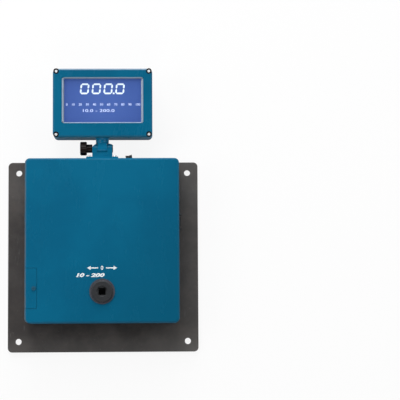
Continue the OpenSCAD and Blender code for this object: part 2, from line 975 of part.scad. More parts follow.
module drive_head() {
    corner_r = drive_sq / sqrt(2);
    color(black)
        translate([0, -drive_drop, 0])
            difference() {
                union() {
                    bar_z(spigot_d, shaft_top - spigot_l, shaft_top);
                    bar_z(head_d, shaft_top, head_top - head_chamfer);
                    translate([0, 0, head_top - head_chamfer])
                        cylinder(d1 = head_d, d2 = head_d - 2 * head_chamfer, h = head_chamfer);
                }
                translate([0, 0, head_top - drive_depth / 2 + over / 2])
                    cube([drive_sq, drive_sq, drive_depth + over], center = true);
                translate([0, 0, head_top - lead_in])
                    cylinder(r1 = corner_r - lead_in / 2, r2 = corner_r + (lead_in + over) / 2,
                        h = lead_in + over);
                translate([0, 0, pin_z])
                    rotate([0, 90, 0])
                        bar_z(pin_d, -spigot_d / 2, spigot_d / 2, over);
            }
}

module drive_pin() {
    color(steel)
        translate([0, -drive_drop, pin_z])
            rotate([0, 90, 0])
                bar_z(pin_d, -shaft_d / 2, shaft_d / 2);
}

module drive_seal() {
    neck_d = seal_d - 2 * seal_neck;
    color(black)
        translate([0, -drive_drop, 0])
            difference() {
                union() {
                    bar_z(seal_d, front_z, front_z + seal_flange);
                    bar_z(neck_d, inner_z, front_z);
                    bar_z(seal_d, inner_z - seal_flange, inner_z);
                }
                bar_z(head_d + 2 * seal_gap, inner_z - seal_flange, front_z + seal_flange, over);
            }
}

// Ear's side profile in (Y, Z)
module ear_profile() {
    translate([pivot_y, pivot_z])
        circle(knuckle_r);
    translate([cover_top, pivot_z - knuckle_r])
        square([pivot_up, 2 * knuckle_r]);
}

module hinge_base() {
    top = pivot_y + knuckle_r;
    color(blue)
        difference() {
            union() {
                along_y(cover_top, cover_top + hinge_t)
                    translate([0, pivot_z])
                        rounded_rect(hinge_w, hinge_d, hinge_t);
                for (s = [-1, 1])
                    along_x(min(s * ear_in, s * ear_out), max(s * ear_in, s * ear_out))
                        ear_profile();
                block([-ear_in, cover_top, pivot_z - knuckle_r], [ear_in, slot_floor, pivot_z + knuckle_r]);
            }
            linear_extrude(front_z)
                polygon([[-ear_out - over, top + over], [-ear_out - over, top - chamfer_left[1]],
                    [-ear_out, top - chamfer_left[1]], [-ear_out + chamfer_left[0], top],
                    [-ear_out + chamfer_left[0], top + over]]);
            linear_extrude(front_z)
                polygon([[ear_out + over, top + over], [ear_out + over, top - chamfer_right[1]],
                    [ear_out, top - chamfer_right[1]], [ear_out - chamfer_right[0], top],
                    [ear_out - chamfer_right[0], top + over]]);
            on_pivot() {
                bar_z(pivot_d + 2 * run_gap, -ear_out, ear_out, over);
                bar_z(bolt_head_d + 2 * free_gap, ear_out + bolt_proud - bolt_head_t, ear_out + over);
            }
            translate([0, 0, pivot_z])
                rotate([-90, 0, 0])
                    bar_z(wire_hole_d, cover_top, slot_floor, over);
            at_hinge_screws()
                bar_z(hinge_screw_d + free_gap, cover_top, cover_top + hinge_t, over);
        }
}

module hinge_base_screws() {
    color(steel)
        at_hinge_screws()
            translate([0, 0, cover_top + hinge_t])
                pan_screw(hinge_screw_d, hinge_head_d, hinge_head_h, hinge_t + sheet_t + backing_t);
}

module hinge_backing_plate() {
    color(steel)
        difference() {
            along_y(inner_top - backing_t, inner_top)
                translate([0, pivot_z])
                    rounded_rect(hinge_w, hinge_d, hinge_t);
            at_hinge_screws()
                bar_z(hinge_screw_d, inner_top - backing_t, inner_top, over);
            translate([0, 0, pivot_z])
                rotate([-90, 0, 0])
                    bar_z(wire_wall_hole_d, inner_top - backing_t, inner_top, over);
        }
}

module pivot_bolt() {
    head_in = ear_out + bolt_proud - bolt_head_t;
    color(black)
        on_pivot()
            difference() {
                union() {
                    bar_z(pivot_d, -bolt_end, head_in);
                    bar_z(bolt_head_d, head_in, head_in + bolt_head_t);
                }
                hex_z(bolt_key, head_in + bolt_head_t - hex_depth, head_in + bolt_head_t + over);
            }
}

module friction_washers() {
    color(brass)
        on_pivot()
            for (s = [-1, 1])
                translate([0, 0, s * (ear_in - washer_t / 2)])
                    difference() {
                        bar_z(washer_d, -washer_t / 2, washer_t / 2);
                        bar_z(pivot_d + 2 * run_gap, -washer_t / 2, washer_t / 2, over);
                    }
}

module clamp_knob() {
    hub_in = -ear_out - free_gap;
    head_in = -ear_out - hub_l;
    head_out = head_in - knob_t;
    color(black)
        on_pivot()
            difference() {
                union() {
                    bar_z(hub_d, head_in, hub_in);
                    bar_z(knob_d, head_out + knob_edge, head_in - knob_edge);
                    translate([0, 0, head_in - knob_edge])
                        cylinder(d1 = knob_d, d2 = knob_d - 2 * knob_edge, h = knob_edge);
                    translate([0, 0, head_out])
                        cylinder(d1 = knob_d - 2 * knob_edge, d2 = knob_d, h = knob_edge);
                }
                for (i = [0:flutes - 1])
                    rotate(360 * i / flutes)
                        translate([knob_d / 2 + flute_d / 4, 0, 0])
                            bar_z(flute_d, head_out, head_in, over);
                bar_z(dish_d, head_out - over, head_out + dish_h);
                bar_z(insert_d, hub_in - insert_l, hub_in + over);
            }
}

module knob_insert() {
    hub_in = -ear_out - free_gap;
    color(brass)
        on_pivot()
            difference() {
                bar_z(insert_d, hub_in - insert_l, hub_in);
                bar_z(pivot_d + 2 * run_gap, hub_in - insert_l, hub_in, over);
            }
}

module display_arm() {
    collar_low = pivot_y + knuckle_r + collar_clear;
    color(blue)
        difference() {
            union() {
                along_x(-tongue_w / 2, tongue_w / 2) {
                    translate([pivot_y, pivot_z])
                        circle(knuckle_r);
                    translate([pivot_y, pivot_z - knuckle_r])
                        square([collar_low - pivot_y, 2 * knuckle_r]);
                }
                translate([0, 0, pivot_z])
                    rotate([-90, 0, 0]) {
                        bar_z(collar_d, collar_low, disp_low - flare_h);
                        translate([0, 0, disp_low - flare_h])
                            cylinder(d1 = collar_d, d2 = collar_d + 2 * flare_out, h = flare_h);
                        bar_z(thread_d, disp_low, disp_low + disp_wall + arm_nut_h + over);
                    }
            }
            on_pivot()
                bar_z(pivot_d + 2 * run_gap, -tongue_w / 2, tongue_w / 2, over);
            translate([0, 0, pivot_z])
                rotate([-90, 0, 0])
                    bar_z(arm_bore_d, collar_low, disp_low + disp_wall + arm_nut_h + 2 * over);
        }
}

module arm_nut() {
    nut_low = disp_low + disp_wall;
    color(steel)
        translate([0, 0, pivot_z])
            rotate([-90, 0, 0])
                difference() {
                    hex_z(arm_nut_af, nut_low, nut_low + arm_nut_h);
                    bar_z(thread_d, nut_low, nut_low + arm_nut_h, over);
                }
}

module display_housing() {
    depth = housing_top - disp_back;
    color(blue)
        difference() {
            union() {
                difference() {
                    translate([disp_shift, disp_mid, housing_top])
                        mirror([0, 0, 1])
                            soft_slab(disp_w, disp_l, depth, disp_corner_r, disp_edge_r);
                    translate([disp_shift, disp_mid, disp_back + disp_wall])
                        linear_extrude(depth)
                            rounded_rect(disp_w - 2 * disp_wall, disp_l - 2 * disp_wall,
                                disp_corner_r - disp_wall);
                }
                at_lid_screws()
                    bar_z(boss_d, disp_back + disp_wall, housing_top);
            }
            at_lid_screws()
                bar_z(lid_screw_d, lid_back - lid_screw_l, housing_top + over);
            at_display_holes()
                bar_z(m3, disp_back + disp_wall - stud_l, disp_back + disp_wall + over);
            translate([0, 0, pivot_z])
                rotate([-90, 0, 0])
                    bar_z(thread_d + free_gap, disp_low, disp_low + disp_wall, over);
        }
}

module display_lid() {
    color(blue)
        difference() {
            translate([disp_shift, disp_mid, lid_back])
                soft_slab(disp_w, disp_l, lid_t, disp_corner_r, disp_edge_r);
            translate([disp_shift, window_mid, lid_back - over])
                linear_extrude(lid_t + 2 * over)
                    rounded_rect(window_w, window_l, window_r);
            translate([disp_shift, window_mid, lid_back - over])
                linear_extrude(glass_t + over)
                    rounded_rect(window_w + 2 * glass_border, window_l + 2 * glass_border, window_r);
            at_lid_screws() {
                bar_z(lid_screw_d + free_gap, lid_back, disp_front, over);
                bar_z(lid_cbore_d, disp_front - lid_cbore, disp_front + over);
            }
        }
}

module lid_gasket() {
    color(black)
        difference() {
            translate([disp_shift, disp_mid, housing_top])
                linear_extrude(gasket_t)
                    rounded_rect(disp_w - 2 * free_gap, disp_l - 2 * free_gap, disp_corner_r);
            translate([disp_shift, disp_mid, housing_top - over])
                linear_extrude(gasket_t + 2 * over)
                    rounded_rect(disp_w - 2 * gasket_w, disp_l - 2 * gasket_w, disp_corner_r - gasket_w);
            at_lid_screws()
                bar_z(lid_screw_d + free_gap, housing_top, lid_back, over);
        }
}

module lid_screws() {
    color(steel)
        at_lid_screws()
            translate([0, 0, disp_front - lid_cbore])
                pan_screw(lid_screw_d, lid_head_d, lid_head_h, lid_screw_l - over);
}

module display_window() {
    color([0.8, 0.85, 0.9, 0.3])
        translate([disp_shift, window_mid, lid_back])
            linear_extrude(glass_t - run_gap)
                rounded_rect(window_w + 2 * glass_border - free_gap,
                    window_l + 2 * glass_border - free_gap, window_r);
}

// Room over the heads of the display board's screws
module display_head_room(low) {
    at_display_holes()
        bar_z(m3_head_d + 2 * free_gap, low, low + m3_head_h + free_gap, over);
}

module lcd_frame() {
    outer_w = window_w + 2 * frame_border;
    outer_l = window_l + 2 * frame_border;
    low = disp_board_z + board_t;
    color(steel)
        translate([disp_shift, window_mid, 0])
            difference() {
                block([-outer_w / 2, -outer_l / 2, low], [outer_w / 2, outer_l / 2, frame_top]);
                block([-outer_w / 2 + frame_wall, -outer_l / 2 + frame_wall, low - over],
                    [outer_w / 2 - frame_wall, outer_l / 2 - frame_wall, frame_top - frame_wall]);
                translate([0, 0, low])
                    linear_extrude(frame_top)
                        rounded_rect(screen_w, screen_l, frame_wall);
                translate([-disp_shift, -window_mid, 0])
                    display_head_room(low);
            }
}

module lcd_panel() {
    panel_top = frame_top - frame_wall;
    color([0.3, 0.42, 0.68])
        translate([disp_shift, window_mid, 0])
            block([-window_w / 2, -window_l / 2, panel_top - panel_t],
                [window_w / 2, window_l / 2, panel_top]);
}

module lcd_backlight() {
    low = disp_board_z + board_t;
    color("white")
        difference() {
            translate([disp_shift, window_mid, 0])
                block([-window_w / 2, -window_l / 2, low],
                    [window_w / 2, window_l / 2, frame_top - frame_wall - panel_t]);
            display_head_room(low);
        }
}

module display_board() {
    color(green) {
        difference() {
            translate([disp_shift, window_mid, disp_board_z])
                linear_extrude(board_t)
                    square([disp_board_w, disp_board_l], center = true);
            at_display_holes()
                bar_z(m3 + free_gap, disp_board_z, disp_board_z + board_t, over);
        }
        translate([0, window_mid - disp_header_low + header[1] / 2, disp_board_z - header[2]])
            block([-header[0] / 2, -header[1] / 2, 0], [header[0] / 2, header[1] / 2, header[2]]);
    }
}

module display_pillars() {
    floor_z = disp_back + disp_wall;
    color(brass)
        at_display_holes()
            difference() {
                union() {
                    hex_z(pillar_af, floor_z, disp_board_z);
                    bar_z(m3, floor_z - stud_l, floor_z);
                }
                bar_z(m3, disp_board_z - 3 * stud_l, disp_board_z + over);
            }
}

module display_board_screws() {
    color(steel)
        at_display_holes()
            translate([0, 0, disp_board_z + board_t])
                pan_screw(m3, m3_head_d, m3_head_h, board_t + 2 * stud_l);
}

module display_lead() {
    color(black)
        lead(display_route, lead_d);
}

module switch_body() {
    wall_y = cover_top;
    color(black)
        translate([switch_x, 0, switch_z])
            difference() {
                union() {
                    along_y(wall_y, wall_y + bezel_h)
                        square([switch_w, switch_d], center = true);
                    along_y(wall_y - switch_block[2], wall_y)
                        square([switch_block[0], switch_block[1]], center = true);
                    for (s = [-1, 1])
                        translate([s * terminal_x, wall_y - switch_block[2] - terminal[2], 0])
                            block([-terminal[0] / 2, 0, -terminal[1] / 2],
                                [terminal[0] / 2, terminal[2] + over, terminal[1] / 2]);
                }
                along_y(wall_y - well_depth, wall_y + bezel_h + over)
                    square(switch_opening, center = true);
                translate([0, wall_y, 0])
                    bar_z(trunnion_d + 2 * run_gap, -rocker_size[1] / 2 - trunnion_l - run_gap,
                        rocker_size[1] / 2 + trunnion_l + run_gap);
            }
}

module power_rocker() {
    half = rocker_size[0] / 2;
    deep = rocker_size[1] / 2;
    dip = rocker_top - half * tan(rocker_deg);
    color(black)
        translate([switch_x, cover_top, switch_z])
            rotate(rocker_deg) {
                translate([0, 0, -deep])
                    linear_extrude(2 * deep)
                        polygon([[-half, -rocker_foot], [half, -rocker_foot], [half, rocker_top],
                            [0, dip], [-half, rocker_top]]);
                bar_z(trunnion_d, -deep - trunnion_l, deep + trunnion_l);
            }
}

module data_port() {
    wall_x = inner_w / 2;
    color(steel)
        difference() {
            union() {
                along_x(wall_x - port_flange[2], wall_x)
                    translate([port_y, socket_z])
                        square([port_flange[0], port_flange[1]], center = true);
                along_x(wall_x - port_body_d, wall_x - port_flange[2])
                    translate([port_y, socket_z])
                        square([port_flange[0] - 2 * over, port_flange[1] - 2 * over], center = true);
                along_x(wall_x - over, wall_x + port_out)
                    port_outline(0);
                block([wall_x - port_body_d, port_y - port_screw_y, board_z + board_t],
                    [wall_x - port_flange[2], port_y + port_screw_y, socket_z]);
            }
            for (row = [-1, 1])
                for (i = [0:(row < 0 ? 3 : 4)])
                    translate([0, port_y + (i - (row < 0 ? 1.5 : 2)) * contact_pitch,
                            socket_z + row * contact_row])
                        rotate([0, 90, 0])
                            bar_z(contact_hole_d, wall_x, wall_x + port_out + over);
            for (s = [-1, 1])
                translate([0, port_y + s * port_screw_y, socket_z])
                    rotate([0, 90, 0])
                        bar_z(jackscrew_d, wall_x - port_body_d, wall_x, over);
        }
}

module port_jackscrews() {
    wall_x = cover_w / 2;
    color(steel)
        for (s = [-1, 1])
            translate([0, port_y + s * port_screw_y, socket_z])
                rotate([0, 90, 0])
                    difference() {
                        union() {
                            hex_z(jackscrew_af, wall_x, wall_x + jackscrew_l);
                            bar_z(jackscrew_d, wall_x - port_body_d + over, wall_x);
                        }
                        bar_z(jackscrew_bore, wall_x + over, wall_x + jackscrew_l + over);
                    }
}

module charge_jack() {
    wall_x = cover_w / 2;
    color(black)
        translate([0, jack_y, socket_z])
            rotate([0, 90, 0])
                difference() {
                    union() {
                        bar_z(jack_flange_d, wall_x, wall_x + jack_flange_t);
                        bar_z(jack_d, wall_x - jack_l, wall_x);
                    }
                    difference() {
                        bar_z(jack_bore_d, wall_x + jack_flange_t - jack_bore_l,
                            wall_x + jack_flange_t + over);
                        bar_z(jack_pin_d, wall_x - jack_l, wall_x);
                    }
                }
}

module jack_nut() {
    wall_x = inner_w / 2;
    color(steel)
        translate([0, jack_y, socket_z])
            rotate([0, 90, 0])
                difference() {
                    hex_z(jack_nut_af, wall_x - jack_nut_h, wall_x);
                    bar_z(jack_d, wall_x - jack_nut_h, wall_x, over);
                }
}

module main_board() {
    color(green)
        difference() {
            block([board_x, board_y, board_z], [board_x + board_w, board_y + board_l, board_z + board_t]);
            at_board_holes()
                bar_z(m3 + free_gap, board_z, board_z + board_t, over);
        }
}

// Part on the main board: a box by its corner, from the board's own corner, and its size
module on_board(corner, size) {
    translate([board_x + corner[0], board_y + corner[1], board_z + board_t])
        cube(size);
}

// A place on the main board from shares of its length and width
function board_place(share) = [share[0] * board_w, share[1] * board_l];

module board_components() {
    side_header = [header[1], header[0], header[2]];
    color([0.15, 0.15, 0.16]) {
        on_board([low_header_in - header[0] / 2, 0], header);
        on_board([low_header_in - header[0] / 2, board_l - header[1]], header);
        on_board([switch_x - board_x - header[0] / 2, board_l - header[1]], header);
        on_board([0, battery_header_up - header[0] / 2], side_header);
        on_board([jack_header_in - header[1], jack_y - board_y - header[0] / 2], side_header);
        for (share = chip_shares)
            on_board(board_place(share), chip);
        for (share = driver_shares)
            on_board(board_place(share), driver);
        on_board(board_place(relay_share), relay);
        for (share = can_shares)
            translate([board_x + share[0] * board_w, board_y + share[1] * board_l, board_z + board_t])
                bar_z(can_d, 0, can_h);
    }
}

module board_pillars() {
    color(brass)
        at_board_holes()
            difference() {
                union() {
                    hex_z(pillar_af, plate_t, board_z);
                    bar_z(m3, plate_t - 2 * stud_l, plate_t);
                }
                bar_z(m3, board_z - 3 * stud_l, board_z + over);
            }
}

module board_screws() {
    color(steel)
        at_board_holes()
            translate([0, 0, board_z + board_t])
                pan_screw(m3, m3_head_d, m3_head_h, board_t + 2 * stud_l);
}

module transducer_lead() {
    color(black)
        lead(transducer_route, lead_d);
}

module power_leads() {
    color([0.6, 0.1, 0.08]) {
        lead(battery_route, thin_lead_d);
        lead(switch_route, thin_lead_d);
        lead(jack_route, thin_lead_d);
    }
}

module signal_lead() {
    color(black)
        lead(signal_route, lead_d);
}

base_plate();
housing_cover();
cover_screws();
cover_nuts();
door_frame();
battery_door();
door_screw();
door_receptacle();
battery_tray();
tray_screws();
battery_cells();
battery_contacts();
transducer_body();
transducer_screws();
strain_gauges();
gauge_sleeve();
drive_head();
drive_pin();
drive_seal();
hinge_base();
hinge_base_screws();
hinge_backing_plate();
pivot_bolt();
friction_washers();
clamp_knob();
knob_insert();
display_arm();
arm_nut();
display_housing();
display_lid();
lid_gasket();
lid_screws();
display_window();
lcd_frame();
lcd_panel();
lcd_backlight();
display_board();
display_pillars();
display_board_screws();
display_lead();
switch_body();
power_rocker();
data_port();
port_jackscrews();
charge_jack();
jack_nut();
main_board();
board_components();
board_pillars();
board_screws();
transducer_lead();
power_leads();
signal_lead();
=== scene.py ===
import math

import bmesh
import bpy
from mathutils import Matrix, Vector


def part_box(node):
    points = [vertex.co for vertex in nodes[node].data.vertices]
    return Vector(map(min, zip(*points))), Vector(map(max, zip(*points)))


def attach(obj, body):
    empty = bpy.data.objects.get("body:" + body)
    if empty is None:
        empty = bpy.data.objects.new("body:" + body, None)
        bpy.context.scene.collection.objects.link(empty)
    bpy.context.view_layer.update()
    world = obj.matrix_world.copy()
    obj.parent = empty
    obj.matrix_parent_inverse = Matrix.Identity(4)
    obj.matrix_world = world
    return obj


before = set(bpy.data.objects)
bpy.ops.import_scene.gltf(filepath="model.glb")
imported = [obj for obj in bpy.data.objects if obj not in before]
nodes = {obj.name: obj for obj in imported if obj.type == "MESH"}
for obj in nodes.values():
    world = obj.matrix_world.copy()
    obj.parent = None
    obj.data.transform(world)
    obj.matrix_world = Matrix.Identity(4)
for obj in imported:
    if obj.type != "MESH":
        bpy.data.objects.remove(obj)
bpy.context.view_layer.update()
print("frame loaded with", len(nodes), "nodes")

# Camera: three metres above the bench, a little right of and below the middle, as photographed
camera = {
    "place": (0.0815, -0.1664, 3.0),
    "aim": (0.1760, 0.1036, 0.0),
    "roll": -0.352,  # degrees
    "focalPixels": 1652.69,
    "pictureWidth": 400,
    "sensor": 36.0,
}


def placeCamera(c):
    data = bpy.data.cameras.new("benchCamera")
    data.sensor_width = c["sensor"]
    data.lens = c["focalPixels"] / c["pictureWidth"] * c["sensor"]
    data.clip_end = 20
    cam = bpy.data.objects.new("benchCamera", data)
    bpy.context.scene.collection.objects.link(cam)
    forward = (Vector(c["aim"]) - Vector(c["place"])).normalized()
    right = forward.cross(Vector((0, 1, 0))).normalized()
    up = right.cross(forward)
    turn = math.radians(c["roll"])
    across = math.cos(turn) * right + math.sin(turn) * up
    upward = -math.sin(turn) * right + math.cos(turn) * up
    cam.matrix_world = Matrix.Translation(c["place"]) @ Matrix((across, upward, -forward)).transposed().to_4x4()
    bpy.context.scene.camera = cam


placeCamera(camera)
print("camera placed")


# Shader maths: a socket that can be added, subtracted and multiplied
class Wire:
    def __init__(self, finish, socket):
        self.finish = finish
        self.socket = socket

    def maths(self, operation, first, second):
        return self.finish.node("ShaderNodeMath", {"operation": operation}, {0: first, 1: second})

    def __add__(self, other):
        return self.maths("ADD", self, other)

    def __radd__(self, other):
        return self.maths("ADD", other, self)

    def __sub__(self, other):
        return self.maths("SUBTRACT", self, other)

    def __rsub__(self, other):
        return self.maths("SUBTRACT", other, self)

    def __mul__(self, other):
        return self.maths("MULTIPLY", self, other)

    def __rmul__(self, other):
        return self.maths("MULTIPLY", other, self)


# The surface sockets that the finishes set
socketNames = {
    "baseColour": "Base Color",
    "roughness": "Roughness",
    "metallic": "Metallic",
    "normal": "Normal",
    "specular": "Specular IOR Level",
    "glow": "Emission Color",
    "glowStrength": "Emission Strength",
}


# A material, or the world, that builds its own nodes
class Finish:
    def __init__(self, name, owner=None, output="ShaderNodeOutputMaterial"):
        self.material = owner or bpy.data.materials.new(name)
        self.material.use_nodes = True
        self.tree = self.material.node_tree
        self.tree.nodes.clear()
        self.output = self.tree.nodes.new(output)

    # One method for every node: its settings first, then the values or links of its sockets
    def node(self, kind, settings=None, sockets=None, result=0):
        made = self.tree.nodes.new(kind)
        for key, value in (settings or {}).items():
            setattr(made, key, value)
        for key, value in (sockets or {}).items():
            if isinstance(value, Wire):
                self.tree.links.new(value.socket, made.inputs[key])
            else:
                made.inputs[key].default_value = value
        return Wire(self, made.outputs[result])

    def show(self, shader):
        self.tree.links.new(shader.socket, self.output.inputs["Surface"])
        return self.material

    def place(self):
        return self.node("ShaderNodeTexCoord", result="Object")

    def axis(self, vector, name):
        return self.node("ShaderNodeSeparateXYZ", {}, {0: vector}, result=name)

    def noise(self, scale, detail=4.0, rough=0.55, stretch=None):
        where = self.place()
        if stretch:
            where = self.node("ShaderNodeMapping", {}, {"Vector": where, "Scale": stretch})
        return self.node(
            "ShaderNodeTexNoise", {}, {"Vector": where, "Scale": scale, "Detail": detail, "Roughness": rough}
        )

    # Soft threshold of a value, from 0 to 1
    def step(self, value, low, high):
        return self.node(
            "ShaderNodeMapRange",
            {"interpolation_type": "SMOOTHSTEP"},
            {"Value": value, "From Min": low, "From Max": high, "To Min": 0.0, "To Max": 1.0},
        )

    def mix(self, factor, a, b):
        return self.node(
            "ShaderNodeMix", {"data_type": "RGBA"}, {"Factor": factor, 6: self.colour(a), 7: self.colour(b)}, result=2
        )

    def colour(self, c):
        return c if isinstance(c, Wire) else (*c, 1.0)

    # Two shaders, by the second one's share
    def blend(self, share, first, second):
        return self.node("ShaderNodeMixShader", {}, {0: share, 1: first, 2: second})

    # Bright where an edge turns within a radius
    def edge(self, radius, sharp):
        soft = self.node("ShaderNodeBevel", {"samples": 4}, {"Radius": radius})
        flat = self.node("ShaderNodeNewGeometry", result="Normal")
        facing = self.node("ShaderNodeVectorMath", {"operation": "DOT_PRODUCT"}, {0: soft, 1: flat}, result="Value")
        return self.step(1 - facing, 0.0, sharp)

    def bump(self, height, distance, strength):
        return self.node("ShaderNodeBump", {}, {"Height": height, "Distance": distance, "Strength": strength})

    def surface(self, **sockets):
        return self.node("ShaderNodeBsdfPrincipled", {}, {socketNames[k]: v for k, v in sockets.items()})


# Blue enamel: even and glossy, with orange peel, faint smudges and edges rubbed lighter; a finish can add painted
# shade towards the lower right, painted highlights on the upper and left edges and painted light on the lower wall
enamel = {
    "tone": (0.0026, 0.129, 0.242),
    "deepTone": (0.0022, 0.111, 0.215),
    "rubbedTone": (0.030, 0.190, 0.300),
    # painted shade: a darker tone towards the lower right
    "paintedShadeTone": (0.0020, 0.089, 0.166),  # towards the lower right
    # painted highlight for the upper edge
    "upperHighlightTone": (0.25, 0.34, 0.43),  # along the upper edge
    # painted light for the lower wall
    "lowerWallLightTone": (0.06, 0.32, 0.35),  # on the lower wall
    # painted warm highlight for the left edge
    "leftHighlightTone": (0.17, 0.13, 0.08),  # along the left edge
    "shadeFrom": -0.08,
    "shadeTo": 0.20,
    "shadeSlope": 0.7,
    "rub": 0.20,
    "rubRadius": 0.0012,
    "speck": 0.10,
    "peel": 0.000015,
    "faceRough": 0.27,
    "wallRough": 0.60,
}


# faceStart: how far a surface has to turn upward, squared, before the face's gloss takes over from the wall's
# The last four arguments set the shares of painted shade towards the lower right, painted highlight on the upper
# edge, painted light on the lower wall and painted highlight on the left edge
def makeEnamel(name, e, lift=1.0, gloss=0.22, wallGloss=0.14, faceStart=(0.04, 0.25), lowerRightShadeShare=0.0,
               upperHighlight=0.0, lowerWallLight=0.0, leftHighlight=0.0):
    f = Finish(name)
    turned = f.node("ShaderNodeTexCoord", result="Normal")
    sideward, rearward, upward = (f.axis(turned, letter) for letter in "XYZ")
    rounded = f.step(upward, 0.1, 0.4)
    # Rounded edges that face the top, where the painted highlight goes
    upperEdge = f.step(rearward, 0.10, 0.45) * rounded
    leftEdge = f.step(0.0 - sideward, 0.15, 0.5) * rounded
    lowerWall = f.step(0.0 - rearward, 0.5, 0.9)
    across, along = (f.axis(f.place(), letter) for letter in "XY")
    # Painted shade: a mask that grows towards the lower right, where less light falls
    lowerRightShade = f.step(across - along * e["shadeSlope"], e["shadeFrom"], e["shadeTo"])
    drift = f.step(f.noise(9.0, 3.0), 0.35, 0.65)
    rub = f.edge(e["rubRadius"], 0.25) * f.step(f.noise(140.0, 5.0), 0.42, 0.62)
    smear = f.step(f.noise(34.0, 6.0, 0.7, stretch=(1.0, 0.35, 1.0)), 0.52, 0.74)
    speck = f.step(f.noise(520.0, 2.0), 0.70, 0.76)
    patchy = f.step(f.noise(48.0, 5.0), 0.35, 0.65) * 0.7 + 0.6
    # lift scales the whole tone; lifts above 1 on the arm and hinge are painted light against the shade round the
    # hinge
    colour = f.mix(drift, [lift * c for c in e["deepTone"]], [lift * c for c in e["tone"]])
    colour = f.mix(lowerRightShade * lowerRightShadeShare, colour, e["paintedShadeTone"])
    colour = f.mix(rub * e["rub"] + speck * e["speck"], colour, e["rubbedTone"])
    # Painted highlight on the upper rounded edge
    colour = f.mix(upperEdge * upperHighlight, colour, e["upperHighlightTone"])
    # Painted light that makes the lower wall paler
    colour = f.mix(lowerWall * lowerWallLight, colour, e["lowerWallLightTone"])
    # Painted warm highlight on the left rounded edge, made patchy
    colour = f.mix(leftEdge * patchy * leftHighlight, colour, e["leftHighlightTone"])
    peel = f.bump(f.noise(900.0, 2.0) + f.noise(260.0, 2.0) * 1.5, e["peel"], 0.6)
    faceRough = e["faceRough"] + smear * 0.03 + rub * 0.15
    face = f.surface(baseColour=colour, roughness=faceRough, specular=gloss, normal=peel)
    wall = f.surface(baseColour=colour, roughness=e["wallRough"] + smear * 0.1, specular=wallGloss, normal=peel)
    return f.show(f.blend(f.step(upward * upward, *faceStart), wall, face))


# Phosphated steel plate: brown-grey, mottled, with pale scuffs; paler towards the right, the bottom and the top as
# painted light, and darker on the left as painted shade
phosphate = {
    "dark": (0.035, 0.030, 0.0285),
    "light": (0.082, 0.069, 0.062),
    "scuff": (0.16, 0.155, 0.15),
    "grain": 0.00004,
    "metal": 0.25,
    "rough": 0.56,
    # painted light: the plate paler towards the right, the bottom and the top
    "rightPaintedLight": 0.24,
    "lowPaintedLight": 0.30,
    "highPaintedLight": 0.14,
    "patchWear": 0.08,
    # painted shade on the left of the plate
    "leftPaintedShade": 0.45,
    "streaks": 0.34,
    "spots": 0.25,
    "rub": 0.30,
}


def makePhosphate(name, p):
    f = Finish(name)
    mottle = f.step(f.noise(26.0, 9.0, 0.68), 0.33, 0.68)
    fine = f.noise(420.0, 4.0, 0.7)
    streak = f.step(f.noise(60.0, 7.0, 0.75, stretch=(1.0, 0.22, 1.0)), 0.60, 0.72)
    spot = f.step(f.noise(170.0, 3.0, 0.6), 0.68, 0.74)
    patch = f.step(f.noise(14.0, 4.0), 0.5, 0.7)
    rub = f.edge(0.0008, 0.2)
    across, along = (f.axis(f.place(), letter) for letter in "XY")
    # Painted light: paler towards the right, the bottom and the top, mixed with random worn patches
    patchesAndPaintedLight = f.step(across, 0.05, 0.16) * p["rightPaintedLight"] + patch * p["patchWear"]
    patchesAndPaintedLight = patchesAndPaintedLight + f.step(0.0 - along, 0.13, 0.17) * p["lowPaintedLight"] + f.step(along, 0.05, 0.15) * p["highPaintedLight"]
    # Painted shade: darker on the left, fading out above the middle
    stainAndShade = f.step(0.0 - across, 0.05, 0.15) * f.step(0.0 - along, -0.10, 0.0) * p["leftPaintedShade"]
    # The plate's mottle, darkened on the left by the painted shade
    body = f.mix(stainAndShade, f.mix(mottle * 0.7 + fine * 0.3, p["dark"], p["light"]), p["dark"])
    scuffsAndPaintedLight = f.mix(streak * p["streaks"] + spot * p["spots"] + rub * p["rub"] + patchesAndPaintedLight, body, p["scuff"])
    rough = p["rough"] - streak * 0.14 + fine * 0.12
    grain = f.bump(fine + mottle * 0.8, p["grain"], 0.7)
    return f.show(f.surface(baseColour=scuffsAndPaintedLight, metallic=p["metal"], roughness=rough, normal=grain))


# Plain metals, each with its brushing or turning marks and a little tarnish
def makeMetal(name, tone, rough, streaks=(1.0, 1.0, 1.0), tarnish=(0.2, 0.19, 0.17), metallic=1.0):
    f = Finish(name)
    brushed = f.noise(700.0, 3.0, 0.6, stretch=streaks)
    stainAndShade = f.step(f.noise(60.0, 6.0, 0.65), 0.45, 0.75)
    rub = f.edge(0.0005, 0.25)
    colour = f.mix(stainAndShade * 0.25, tone, tarnish)
    colour = f.mix(rub * 0.35, colour, [min(1.0, 1.5 * c + 0.05) for c in tone])
    return f.show(
        f.surface(
            baseColour=colour,
            metallic=metallic,
            roughness=rough + brushed * 0.12 + stainAndShade * 0.10,
            normal=f.bump(brushed, 0.00002, 0.6),
        )
    )


# Moulded plastics and rubbers: grain, a soft bloom and rubbed edges
def makeMoulded(name, tone, rough, grain=0.00003, bloom=(0.12, 0.12, 0.12), sheen=0.5):
    f = Finish(name)
    texture = f.noise(1100.0, 3.0, 0.6)
    dust = f.step(f.noise(90.0, 6.0, 0.7), 0.50, 0.80)
    rub = f.edge(0.0006, 0.25)
    colour = f.mix(dust * 0.10 + rub * 0.16, tone, bloom)
    return f.show(
        f.surface(
            baseColour=colour,
            roughness=rough + dust * 0.12 + texture * 0.08,
            specular=sheen,
            normal=f.bump(texture, grain, 0.6),
        )
    )


